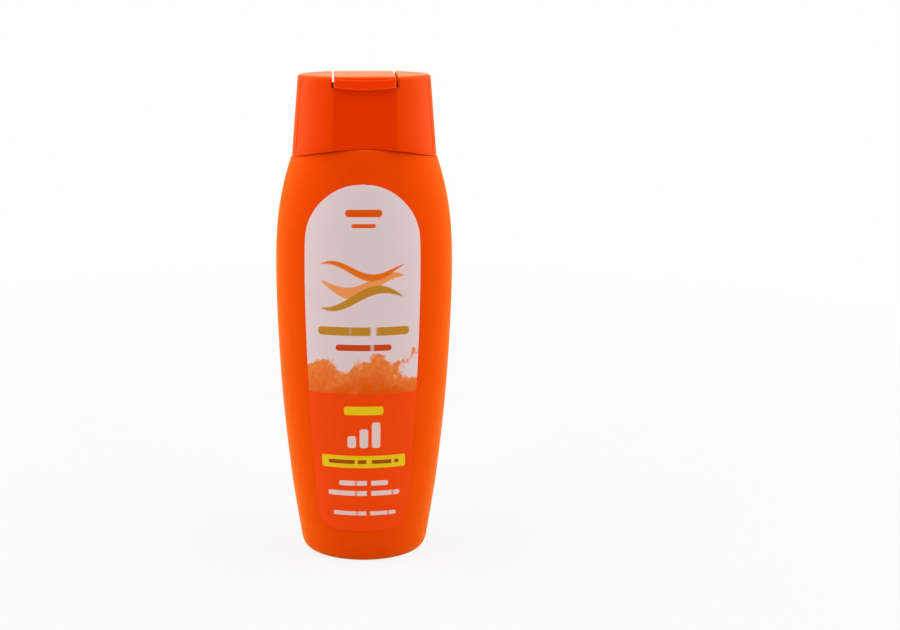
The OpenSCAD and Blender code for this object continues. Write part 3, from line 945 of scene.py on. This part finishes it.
@dataclass
class ClosureBase:
    """The closure's fixed part: one skin round the skirt, the decks, the channel, its nozzle and the inside.

    Every column of the skin runs from the foot up the outside. Beside the channel it goes over a deck and
    down the channel's wall, and between the slots it stays at the channel's edge until the floor begins.
    Then it runs over the floor to the nozzle, down the orifice and back to the foot on the inside.
    """

    form: CapForm
    finish: MouldedPlastic
    orifice_r: float = 3
    nozzle_h: float = 1.4
    nozzle_soft: float = 0.35
    orifice_soft: float = 0.3
    foot_soft: float = 0.22
    # Radius of the deck's edge along the slot, and of its two upright corners
    slot_r: float = 0.42
    corner_r: float = 0.8
    # Height above the channel's floor over which the upright corners become round
    corner_rise: float = 0.5
    # Fillet along the foot of the channel's wall, and the shares of its length over which it runs out
    foot_r: float = 0.55
    foot_ends: tuple[float, float] = (0.02, 0.08)
    # The two raised blocks beside the lid at the back: width, height below the top, how far they stand
    # out, and over what height and what shares of their width they run out
    block_w: float = 2.7
    block_h: float = 3.9
    block_out: float = 0.4
    block_soft: float = 0.22
    block_fade: tuple[float, float] = (0.3, 1.2)
    # The fine upright grooves near both ends: where they lie, in degrees, how far they stand out, their
    # half width, how far below the top they end, and the radius at which that width is measured
    line_deg: float = 19
    line_out: float = -0.32
    line_w: float = 0.32
    line_ends: tuple[float, float] = (1.4, 0.9)
    line_r: float = 20
    collar_r: float = 10.75
    collar_t: float = 1.3
    collar_h: float = 11
    seal_r: float = 8.1
    seal_t: float = 1.04
    seal_h: float = 3.5
    # How far the collar and the seal ring reach up into the closure's plate
    root: float = 0.3
    # Points along a flank and across a panel, and how much closer a flank's points lie at its ends
    flank: int = 220
    across: int = 56
    crowd: float = 0.25

    def ring(self, z: Any, arch: float = 0, inset: float = 0, half: float | None = None) -> Array:
        """One ring of the outside: right flank, back panel, left flank, front panel, each with both ends.

        A flank point is (a cos t, b sin t / sin t0), and the panels run between x = -half and x = half.

        Args:
            z: Height at the ends.
            arch: How far it rises over the front and the back.
            inset: How far in it lies.
            half: Where the flanks begin.

        Returns:
            The ring, (columns, 3).
        """
        form = self.form
        half = form.channel if half is None else half
        a0, _ = form.axes(z, inset)
        w = np.linspace(-1, 1, self.flank)
        turn = math.acos(half / a0) * w * (1 + self.crowd * (1 - w**2))
        run = np.linspace(half, -half, self.across)
        share = np.concatenate([np.cos(turn), run / a0, -np.cos(turn), -run / a0])
        side = np.concatenate([np.sign(turn), np.ones_like(run), -np.sign(turn), -np.ones_like(run)])
        h = z + arch * (1 - share**2)
        a, b = form.axes(h, inset)
        x = share * np.where(np.repeat([False, True] * 2, [self.flank, self.across] * 2), a0, a)
        return np.stack([x, side * form.edge_y(x, a, b), h], -1)

    def dressed(self, ring: Array) -> Array:
        """Raises the blocks beside the lid and sinks the fine upright grooves on a ring of the outside.

        A block runs out as ease does. A groove is a bell curve, exp(-(d / w)^2) at a distance d.

        Args:
            ring: Points, (columns, 3).

        Returns:
            The moved points.
        """
        form = self.form
        x, y, z = ring.T
        start, end = (form.channel + self.block_w * share for share in self.block_fade)
        low = form.top - self.block_h
        block = (1 - ease(np.abs(x), start, end)) * ease(z, low, low + self.block_soft)
        block[(np.abs(x) < form.channel - 0.001) | (y < 0)] = 0
        a, _ = form.axes(z)
        turn = np.arccos(np.clip(np.abs(x) / a, 0, 1)) - math.radians(self.line_deg)
        fade = 1 - ease(z, *(form.top - below for below in self.line_ends))
        line = self.line_out * np.exp(-(turn * self.line_r / self.line_w) ** 2) * fade
        out = np.stack([x / a**2, np.sign(y) / a, np.zeros_like(x)], -1)
        out /= np.linalg.norm(out, axis=1, keepdims=True)
        return ring + out * line[:, None] + np.array([0, self.block_out, 0]) * block[:, None]

    def rounded(self, arc: Array, edge: Array, radius: float) -> tuple[Array, Array]:
        """Rounds the two corners where a deck's arc meets its straight edge.

        The curve at a corner c runs from p on the arc to q on the edge, and each takes its half of it:
        (1 - t)^2 p + 2t (1 - t) c + t^2 q.

        Args:
            arc: Points of the arc, from the front corner to the back one.
            edge: Points of the straight edge, from the front corner to the back one.
            radius: How far from the corner the curve starts.

        Returns:
            The arc and the edge with their ends moved onto the curves.
        """
        moved = arc.copy(), edge.copy()
        for end in (1, -1):
            lines = arc[::end], edge[::end]
            far = [np.append(0, np.cumsum(np.linalg.norm(np.diff(line, axis=0), axis=1))) for line in lines]
            p, q = (np.array([np.interp(radius, d, c) for c in line.T]) for d, line in zip(far, lines))
            for way, d, line in zip((-1, 1), far, moved):
                near = d < radius
                t = (0.5 + 0.5 * way * d[near] / radius)[:, None]
                line[::end][near] = (1 - t) ** 2 * p + 2 * t * (1 - t) * arc[::end][0] + t**2 * q
        return moved

    def fillet(self, rise: float, along: Array) -> Array:
        """How far in the fillet at the channel's foot lies: f - sqrt(f^2 - (f - h)^2) at a height h.

        Args:
            rise: Height above the floor.
            along: Share of the way from the wall's front end to its back end.

        Returns:
            The distances.
        """
        left = max(0.0, self.foot_r - rise)
        inward = self.foot_r - math.sqrt(self.foot_r**2 - left**2)
        return inward * ease(along, *self.foot_ends) * ease(1 - along, *self.foot_ends)

    def deck_rows(self) -> tuple[list[Array], list[Array]]:
        """Rings up the two deck blocks, and the matching rows of the channel's walls, from the floor up.

        Returns:
            The rising rings and, in the same order, the rings of the channel's walls at the same heights.
            Between the slots both stay at the channel's edge.
        """
        form = self.form
        base = self.dressed(self.ring(form.floor))
        q = np.linspace(0, np.pi / 2, 11)[1:]
        rise = np.concatenate([np.linspace(0, 0.7, 8), np.linspace(1, form.lid_h - form.top_r, 6)])
        heights = np.concatenate([form.floor + rise, form.top - form.top_r * (1 - np.sin(q))])
        insets = np.concatenate([0 * rise, form.top_r * (1 - np.cos(q))])
        outer_rows, inner_rows = [], []
        for z, inset in zip(heights, insets):
            near = max(0.0, z - (form.top - self.slot_r))
            half = form.channel + self.slot_r - math.sqrt(max(0.0, self.slot_r**2 - near**2))
            ring = self.dressed(self.ring(z, 0, inset, half))
            outer, inner = base.copy(), base.copy()
            radius = self.corner_r * float(ease(z, form.floor, form.floor + self.corner_rise))
            for start in (0, self.flank + self.across):
                part = slice(start, start + self.flank)
                arc = ring[part]
                along = (arc[:, 1] - arc[0, 1]) / (arc[-1, 1] - arc[0, 1])
                edge = arc[0] + along[:, None] * (arc[-1] - arc[0])
                outer[part], inner[part] = self.rounded(arc, edge, radius)
                inner[part][:, 0] -= np.sign(arc[0, 0]) * self.fillet(z - form.floor, along)
            outer_rows.append(outer)
            inner_rows.append(inner)
        return outer_rows, inner_rows

    def nozzle(self, turns: Array) -> Array:
        """Circles from the channel's floor up the nozzle, over its soft rim and down the orifice.

        Args:
            turns: Angles of the points on a circle.

        Returns:
            The circles, (rows, columns, 3).
        """
        low, bore, soft, fine = self.form.floor, self.orifice_r, self.nozzle_soft, self.orifice_soft
        out, top = bore + self.form.wall, self.form.floor + self.nozzle_h
        return circles([
            (out + 0.5, low), (out + 0.15, low + 0.15), (out, low + 0.5),
            (out, top - soft), (out - 0.1, top - 0.1), (out - soft, top),
            (bore + 0.25, top), (bore + 0.06, top - 0.08), (bore, top - fine),
            (bore, low - self.form.wall)], turns)

    def build(self) -> list[Piece]:
        """Makes the closure's base in place of its CAD node."""
        form, arch, soft = self.form, self.form.outline.arch, self.foot_soft
        first, under = form.foot + soft, form.floor - form.wall
        skirt = [self.ring(form.foot, arch, form.wall)]
        skirt += [self.ring(form.foot + soft * (1 - math.cos(q)), arch, soft * (1 - math.sin(q)))
                  for q in np.linspace(0, np.pi / 2, 6)]
        skirt += [self.dressed(self.ring(first + (form.floor - first) * k, arch * (1 - k)))
                  for k in np.linspace(0, 1, 17)[1:]]
        up, down = self.deck_rows()
        decks = [*up[1:], *between(up[-1], down[-1], np.linspace(0, 1, 9)[1:-1]), *down[::-1]]
        nozzle = self.nozzle(np.arctan2(down[0][:, 1], down[0][:, 0]))
        plate = between(down[0], nozzle[0], np.linspace(0, 1, 15)[1:-1])
        ceiling = between(nozzle[-1], self.ring(under, 0, form.wall), np.linspace(0, 1, 6)[1:])
        inner = [self.ring(form.foot + (under - form.foot) * k, arch * (1 - k), form.wall)
                 for k in np.linspace(1, 0, 8)[1:]]
        grid = np.stack([*skirt, *decks, *plate, *nozzle, *ceiling, *inner])
        # Beside the decks the cells between a flank and a panel would be folded flat, so they get no face
        gaps = np.zeros((len(grid) - 1, grid.shape[1]), bool)
        edges = np.cumsum([self.flank, self.across] * 2) - 1
        gaps[len(skirt) - 1:len(skirt) + len(decks) - 1, edges] = True
        skin = Skin()
        skin.grid(grid, around=True, gaps=gaps)
        for out, thick, high in ((self.collar_r + self.collar_t, self.collar_t, self.collar_h),
                                 (self.seal_r, self.seal_t, self.seal_h)):
            low, top = under - high, under + self.root
            bore = out - thick
            section = [(bore, low), (out, low), (out, top), (bore, top), (bore, low)]
            skin.grid(circles(section, np.linspace(0, 2 * np.pi, 97)[:-1]), around=True)
        piece = skin.make("closure_body", sharp_deg=38)
        fit_out(piece, self.finish.material(), Slot.CLOSURE, Body.BOTTLE, "closure_base")
        return [piece]


@dataclass
class FlipLid:
    """The lid: the closure's flat panel carried over the top, with a front lip and a pin underneath."""

    form: CapForm
    finish: MouldedPlastic
    wall: float = 1.2
    # Radius of the long edges at the slots
    side_r: float = 0.4
    # Front lip: how far its face stands out at the rim and at the top, how deep it is scooped out between
    # them, how far the rim hangs down in the middle, and how far the nib above the rim stands out
    lip_out: float = 0.98
    lip_top_out: float = 0.36
    scoop: float = 0.04
    lip_drop: float = 0.8
    nib: float = 0.16
    nib_w: float = 0.4
    # Where the nib lies and its half height, as shares of the way down, and the same of the rim's bead
    nib_at: float = 0.84
    nib_h: float = 0.08
    bead: float = 0.16
    bead_at: float = 0.9
    bead_w: float = 0.07
    # Back ledge: how far it stands out
    ledge_out: float = 0.34
    # Distance of the upper edge of both below the lid's top, and how far that edge sags in the middle
    lip_below: float = 0.75
    lip_sag: float = 0.5
    lip_side: float = 0.15
    lip_r: float = 0.38
    # Share of a plate's thickness that its rounded edge keeps, and how deep a plate is rooted in the lid
    edge: float = 0.15
    root: float = 0.3
    # Heights above the lid's lower edge between which the front lip's back comes to be rooted
    root_rise: tuple[float, float] = (-0.02, 0.25)
    pin_r: float = 2.85
    pin_deep: float = 0.6
    nozzle_h: float = 1.4

    def section(self, inset: float) -> tuple[Array, Array]:
        """The lid's outline from the side: from its front lower edge over the top to its back lower edge.

        Args:
            inset: How far inside the outer face it lies.

        Returns:
            Distances y and heights z.
        """
        form = self.form
        q = np.linspace(0, np.pi / 2, 13)
        z = form.top - inset - form.top_r * (1 - np.sin(q))
        y = form.face(z) - inset - form.top_r * (1 - np.cos(q))
        y = np.append(np.linspace(form.face(form.part) - inset, y[0], 9)[:-1], y)
        z = np.append(np.linspace(form.part, z[0], 9)[:-1], z)
        flat = np.linspace(-1, 1, 41)[1:-1] * y[-1]
        level = np.full_like(flat, z[-1])
        return np.concatenate([-y, flat, y[::-1]]), np.concatenate([z, level, z[::-1]])

    def sheet(self, half: float, inset: float, soft: float) -> Array:
        """The lid's skin: across the top between its two long edges, and down a flat plate at each side.

        Args:
            half: Half width.
            inset: How far inside the outer section it lies.
            soft: Radius of the long edges.

        Returns:
            Points, (rows, columns, 3), whose rows run from right to left.
        """
        low = self.form.part
        q = np.linspace(0, np.pi / 2, 7)
        sides = [(half, inset + soft, s) for s in np.linspace(1, 0, 7)[:-1]]
        sides += [(half - soft * (1 - math.cos(k)), inset + soft * (1 - math.sin(k)), 0.0) for k in q]
        run = [(x, inset, 0.0) for x in np.linspace(half - soft, soft - half, 42)[1:-1]]
        rows = []
        for x, deep, drop in [*sides, *run, *[(-x, deep, drop) for x, deep, drop in sides[::-1]]]:
            y, z = self.section(deep)
            rows.append(np.stack([np.full_like(y, x), y, z + drop * (low - z)], -1))
        return np.stack(rows)

    def plate(self, skin: Skin, side: int, drop: float, nib: float,
              outs: tuple[float, float, float]) -> None:
        """Adds the front lip or the back ledge: a plate on the lid's face with a sagging upper edge.

        At a share s of the way down it stands out by top + (rim - top) s - scoop sin(pi s), and at the
        front a bead, a bell curve of s, follows its rim. Its edges are rounded as cushion does.

        Args:
            skin: The lid's skin.
            side: -1 at the front, 1 at the back.
            drop: How far its lower edge hangs down in the middle.
            nib: How far the nib, a small round bump above the rim's middle, stands out.
            outs: How far it stands out at the top and at the rim, and the scoop's depth.
        """
        form = self.form
        half = form.panel - self.lip_side
        top_out, rim_out, scoop = outs
        u, v = crowded(-1, 1, 90, 0.35), crowded(0, 1, 40, 1)
        low = form.part - drop * (1 - u**2)
        high = form.top - self.lip_below - self.lip_sag * (1 - u**2)
        z = low + v[:, None] * (high - low)
        x, z, height = cushion(u * half, z, (-half, half), (low, high), self.lip_r)
        share = np.clip((high - z) / (high - low), 0, 1)
        out = top_out + (rim_out - top_out) * share - scoop * np.sin(np.pi * share)
        if drop > 0:
            out += self.bead * np.exp(-((share - self.bead_at) / self.bead_w) ** 2)
        out += nib * np.exp(-((x / self.nib_w) ** 2) - ((share - self.nib_at) / self.nib_h) ** 2)
        face = form.face(np.maximum(z, form.part))
        # Below the lid's face the plate's back stands clear of the base, and above it the plate is rooted
        back = np.full_like(z, -self.root)
        if drop > 0:
            rise = ease(z, *(form.part + step for step in self.root_rise))
            back = form.lid_gap - (form.lid_gap + self.root) * rise
        rooted = np.maximum(back, 0)
        # The rounded edge keeps a little of the thickness, so that the plate ends in a crisp line
        height = self.edge + (1 - self.edge) * height
        front = np.stack([x, side * (face + rooted + (out - rooted) * height), z], -1)
        inner = np.stack([x, side * (face + back), z], -1)
        turn = slice(None, None, -side)
        skin.slab(front[:, turn], inner[:, turn])

    def build(self) -> list[Piece]:
        """Makes the lid in place of its CAD node."""
        form = self.form
        skin = Skin()
        skin.slab(self.sheet(form.panel, 0, self.side_r), self.sheet(form.panel - self.wall, self.wall, 0))
        self.plate(skin, -1, self.lip_drop, self.nib, (self.lip_top_out, self.lip_out, self.scoop))
        self.plate(skin, 1, 0, 0, (self.ledge_out, self.ledge_out, 0))
        r, tip, top = self.pin_r, form.floor + self.nozzle_h - self.pin_deep, form.top - self.wall / 2
        pin = [(0, tip), (r * 0.7, tip), (r * 0.78, tip + 0.1), (r, tip + 0.4), (r, top), (0, top)]
        skin.grid(circles(pin, np.linspace(0, 2 * np.pi, 65)[:-1]), around=True)
        piece = skin.make("lid_shell", sharp_deg=38)
        fit_out(piece, self.finish.material(), Slot.CLOSURE, Body.LID, "flip_lid")
        return [piece]


@dataclass
class BowTieHinge:
    """The living hinge: a strap and two wings, thin pads that bend where the base and the lid part."""

    form: CapForm
    finish: MouldedPlastic
    strap_finish: MouldedPlastic
    thick: float = 0.5
    strap_w: float = 4
    strap_h: float = 1.9
    wing_end: float = 6
    wing_h: float = 3.7
    wing_waist: float = 2.4
    slit: float = 0.6
    edge_r: float = 0.34
    # How deep the pads are rooted in the panel
    root: float = 0.05
    # How far the strap's middle swells out past its upper and lower edges
    swell: float = 0.32
    # Bead along the wings' edges: its height, and its place and half width as shares of their half height
    bead: float = 0.2
    bead_at: float = 0.8
    bead_w: float = 0.13
    # Width and depth of the groove along which the wings fold, and half the height of a span about the hinge
    # line, whose ends build works out and leaves unused
    groove_w: float = 0.35
    groove: float = 0.2
    bend: float = 0.7

    def spot(self, along: Array, deep: Array, x: Array) -> Array:
        """Places pad points: up the sloping back panel from the hinge line, and inwards from the face.

        Args:
            along: Distance up the panel from the hinge line.
            deep: Distance inwards.
            x: Distance to the right.

        Returns:
            The points.
        """
        form = self.form
        slope = math.atan(form.taper / form.high)
        low = form.part - form.lid_gap / 2
        y0 = float(form.face(low)) + self.thick * math.cos(slope)
        z0 = low + self.thick * math.sin(slope)
        y = y0 - along * math.sin(slope) - deep * math.cos(slope)
        return np.stack([x, y, z0 + along * math.cos(slope) - deep * math.sin(slope)], -1)

    def pad(self, name: str, inner: float, outer: float, inner_h: float, outer_h: float,
            swell: float) -> Piece:
        """Makes a pad between two distances from the middle, whose height changes evenly between them.

        Args:
            name: Name of the piece.
            inner: One end's x.
            outer: The other end's x.
            inner_h: Height at the first end.
            outer_h: Height at the other.
            swell: How far its middle swells out, or 0 for a pad with a fold and a bead along both edges.

        Returns:
            The piece.
        """
        left, right = sorted((inner, outer))
        x = crowded(left, right, 36, 1)
        half = (inner_h + (outer_h - inner_h) * (x - inner) / (outer - inner)) / 2
        s = crowded(-1, 1, 44, 0.4)[:, None] * half
        x, s, height = cushion(x, s, (left, right), (-half, half), self.edge_r)
        deep = self.edge_r * (1 - height) - swell * (1 - (s / half) ** 2)
        if swell == 0:
            deep += self.groove * np.exp(-(s / self.groove_w) ** 2)
            deep -= self.bead * np.exp(-((np.abs(s) / half - self.bead_at) / self.bead_w) ** 2)
        skin = Skin()
        # Seen from behind, x runs to the left
        front, back = self.spot(s, deep, x), self.spot(s, np.full_like(s, self.thick + self.root), x)
        skin.slab(front[:, ::-1], back[:, ::-1])
        return skin.make(name, sharp_deg=50)

    def build(self) -> list[Piece]:
        """Makes the strap and the wings, each in place of the two halves of its CAD solid."""
        start, end = self.spot(np.array([-self.bend, self.bend]), np.zeros(2), np.zeros(2)) * MM
        gap = self.strap_w / 2 + self.slit
        pads = {
            "strap": (-self.strap_w / 2, self.strap_w / 2, self.strap_h, self.strap_h, self.swell),
            "wing_left": (-gap, -self.wing_end, self.wing_waist, self.wing_h, 0),
            "wing_right": (gap, self.wing_end, self.wing_waist, self.wing_h, 0)}
        # The strap's finish is a paler copy of the closure's plastic: painted light for the light that the
        # strap's swell catches
        wing, strap = self.finish.material(), self.strap_finish.material()
        pieces = []
        for name, sizes in pads.items():
            piece = self.pad(f"fold_{name}", *sizes)
            material = strap if name == "strap" else wing
            fit_out(piece, material, Slot.CLOSURE, None, f"hinge_{name}_lower", f"hinge_{name}_upper")
            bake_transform(piece)
            pieces.append(piece)
        return pieces


class Side(Enum):
    """The side of the bottle that a label lies on, as the way its x and y point."""

    FRONT = 1
    BACK = -1


@dataclass
class Label:
    """A thin film on the bottle, with a round top and rounded lower corners."""

    outline: Outline
    side: Side
    finish: PrintedFilm
    slot: Slot
    low: float = 12.7
    high: float = 141.6
    arch: float = 20
    # Roundness of the top, 2 for an ellipse
    arch_power: float = 2.12
    corner: float = 6.5
    # How far the lower edge rises towards its corners, and how far up the film that still shows
    bow: float = 0.5
    bow_end: float = 12
    # How far the film lies beside the bottle's middle
    off: float = -0.9
    thick: float = 0.15
    glue: float = 0.05
    # Share of the bottle's half width that the film covers, at its foot and at its top
    foot_share: float = 0.622
    top_share: float = 0.643
    # Flowing bands: height, swing, wave length and shift of each one's middle line, its half height in the
    # middle, and how far from the film's middle all of them end
    band_lines: tuple[tuple[float, ...], ...] = (
        (106.5, 3.2, 34, 4, 2.3), (101, 3.6, 38, -3, 1.7), (111.5, 2.6, 30, 11, 1.3))
    band_end: float = 15.5
    rows: int = 290
    columns: int = 96

    def reach(self, z: Array) -> Array:
        """The outline's half width at each height, as a share of the bottle's.

        Args:
            z: Heights.

        Returns:
            Shares.
        """
        up = np.clip((z - (self.high - self.arch)) / self.arch, 0, 1)
        down = np.clip((self.low + self.corner - z) / self.corner, 0, 1)
        share = np.interp(z, (self.low, self.high), (self.foot_share, self.top_share))
        inward = self.corner * (1 - np.sqrt(1 - down**2)) / self.outline.spans(z)[0]
        return share * (1 - up**self.arch_power) ** (1 / self.arch_power) - inward

    def points(self, out: float) -> tuple[Array, Array]:
        """The film at a distance outside the bottle: (a sin t, -b cos t), moved out along its normal.

        Args:
            out: The distance.

        Returns:
            The points, and for each its place on the film: distance along the surface from the film's
            middle, and height.
        """
        f = np.linspace(-1, 1, self.columns)
        level = crowded(self.low, self.high, self.rows, 0.25)[:, None]
        z = level + self.bow * f**2 * (1 - ease(level, self.low, self.low + self.bow_end))
        a, b = self.outline.spans(z)
        t = np.arcsin(np.clip(self.reach(level) * f + self.off / a, -1, 1))
        normal = np.stack([np.sin(t) / a, -np.cos(t) / b, 0 * t], -1)
        normal /= np.linalg.norm(normal, axis=-1, keepdims=True)
        spots = np.stack([a * np.sin(t), -b * np.cos(t), z], -1) + out * normal
        steps = np.hypot(np.diff(spots[..., 0], axis=1), np.diff(spots[..., 1], axis=1))
        along = np.concatenate([np.zeros((self.rows, 1)), np.cumsum(steps, axis=1)], axis=1)
        along -= along[:, -1:] / 2
        return spots, np.stack([along, z, 0 * z], -1)

    def bands(self, place: Array) -> Array:
        """Three flowing bands that taper to both ends: half height minus distance from a sine line.

        Args:
            place: Places on the film.

        Returns:
            For each place, how far inside each band it lies.
        """
        u, z = place[..., :1], place[..., 1:2]
        middle, swing, length, shift, half = np.transpose(self.band_lines)
        line = middle + swing * np.sin(2 * np.pi * (u - shift) / length)
        return half * (1 - (u / self.band_end) ** 2) - np.abs(z - line)

    def build(self) -> list[Piece]:
        """Makes the label in place of its CAD node."""
        outer, place = self.points(self.glue + self.thick)
        inner, _ = self.points(self.glue)
        turn = np.array([self.side.value, self.side.value, 1])
        name = self.side.name.lower()
        skin = Skin()
        skin.slab(outer * turn, inner * turn, place=place, bands=self.bands(place))
        piece = skin.make(f"{name}_film", sharp_deg=50)
        fit_out(piece, self.finish.material(), self.slot, Body.BOTTLE, f"{name}_label")
        return [piece]


@dataclass(frozen=True)
class Softbox:
    """A plain area lamp aimed at the bottle's middle."""

    name: str
    place: tuple[float, float, float]
    wide: float
    high: float
    watts: float


@dataclass
class Studio:
    """The plain white room: floor, soft lamps, sky and camera."""

    # Height of the bottle's middle, where lamps and camera aim
    aim_z: float = 90
    lamps: tuple[Softbox, ...] = (
        *(Softbox(f"{row}{side}_box", (x * way, y, 620), wide, 1200, watts)
          for row, x, y, wide, watts in (("", 950, 0, 800, 8), ("front_", 759, -572, 600, 4),
                                         ("back_", 759, 572, 600, 2.6))
          for side, way in (("left", -1), ("right", 1))),
        Softbox("top_box", (0, 0, 1000), 900, 900, 4.2),
        Softbox("back_box", (0, 1500, 700), 900, 900, 3.3))
    # How strong the sky lights the bottle. The camera sees it white
    sky: float = 0.01
    floor_half: float = 6000
    floor_z: float = -0.02
    # Camera: focal length on a 36 mm sensor, distance, angles in degrees and shift of the frame
    lens: float = 54.24
    distance: float = 497.1
    elevation: float = 14.52
    turn: float = 1.25
    shift_x: float = 0.0953
    shift_y: float = 0.0021

    def aim(self, thing: Piece, place: Sequence[float]) -> None:
        """Stands a lamp or camera at a place, looking at the bottle's middle.

        Args:
            thing: The lamp or camera.
            place: Where it stands, in millimetres.
        """
        spot = Vector(place)
        away = Vector((0, 0, self.aim_z)) - spot
        thing.location = spot * MM
        thing.rotation_euler = away.to_track_quat("-Z", "Y").to_euler()
        bpy.context.scene.collection.objects.link(thing)

    def light(self) -> None:
        """Hangs the soft lamps and sets the sky, which is white where the camera sees it."""
        for box in self.lamps:
            lamp = bpy.data.lights.new(box.name, "AREA")
            lamp.shape, lamp.energy = "RECTANGLE", box.watts
            lamp.size, lamp.size_y = box.wide * MM, box.high * MM
            self.aim(bpy.data.objects.new(box.name, lamp), box.place)
        world = bpy.data.worlds.new("white_room")
        bpy.context.scene.world = world
        tree = emptied(world)
        path = add(tree, "LightPath").outputs
        seen = path["Is Camera Ray"], path["Is Transmission Ray"]
        either = add(tree, "Math", dict(enumerate(seen)), operation="MAXIMUM")
        strength = add(tree, "MapRange", {"Value": either, "To Min": self.sky, "To Max": 1})
        sky = add(tree, "Background", {"Color": WHITE, "Strength": strength})
        add(tree, "OutputWorld", {"Surface": sky})

    def floor(self) -> None:
        """Lays a wide level floor, a hair under the bottle."""
        skin = Skin()
        run = np.linspace(-self.floor_half, self.floor_half, 9)
        x, y = np.meshgrid(run, run)
        skin.grid(np.stack([x, y, np.full_like(x, self.floor_z)], -1))
        piece = skin.make("floor")
        piece.data.materials.append(MattCard("White matt card").material())

    def camera(self) -> None:
        """Sets the camera at the photograph's angle."""
        turn, up = math.radians(self.turn), math.radians(self.elevation)
        level = self.distance * math.cos(up)
        data = bpy.data.cameras.new("camera")
        data.lens, data.sensor_width, data.clip_end = self.lens, 36, 100
        data.shift_x, data.shift_y = self.shift_x, self.shift_y
        camera = bpy.data.objects.new("camera", data)
        height = self.aim_z + self.distance * math.sin(up)
        self.aim(camera, (-level * math.sin(turn), -level * math.cos(turn), height))
        bpy.context.scene.camera = camera


def main() -> None:
    logging.basicConfig(level=logging.INFO, format="%(message)s")
    outline = Outline()
    form = CapForm(outline)
    # Blow-moulded polyethylene: satin with slow waves, because only its outer face met the mould
    bottle_plastic = MouldedPlastic(
        "Blow-moulded orange polyethylene", "F83502", "F43002", roughness=0.46, grain=0.5,
        grain_depth=0.006, wave=16, wave_depth=0.05)
    # Injection-moulded polypropylene: a little redder, flat and true, with a finer grain
    closure_plastic = MouldedPlastic(
        "Injection-moulded orange polypropylene", "F62602", "F12302", roughness=0.38, grain=0.4,
        grain_depth=0.005, wave=22, wave_depth=0.015, gloss=0.17, glow=0.25)
    # The same polypropylene on the hinge's strap: shinier, and painted paler as painted light, standing in
    # for the light that the strap catches
    painted_paler_strap_plastic = MouldedPlastic(
        "Flexed orange polypropylene", "FF490C", "F84008", roughness=0.3, grain=0.4,
        grain_depth=0.003, wave=22, wave_depth=0.01, gloss=0.5, glow=0.12)
    parts = [
        Bottle(outline, bottle_plastic),
        ClosureBase(form, closure_plastic),
        FlipLid(form, closure_plastic),
        BowTieHinge(form, closure_plastic, painted_paler_strap_plastic),
        Label(outline, Side.FRONT, FrontFilm("Printed polyethylene film, front", "ECD6D8"), Slot.FRONT),
        Label(outline, Side.BACK, BackFilm("Printed polyethylene film, back", "F23603"), Slot.BACK)]
    for part in parts:
        for piece in part.build():
            mesh = piece.data
            log.info("%s: %d points, %d faces", piece.name, len(mesh.vertices), len(mesh.polygons))
    studio = Studio()
    studio.floor()
    studio.light()
    studio.camera()
    bpy.context.scene.view_settings.view_transform = "Standard"


if __name__ == "__main__":
    main()
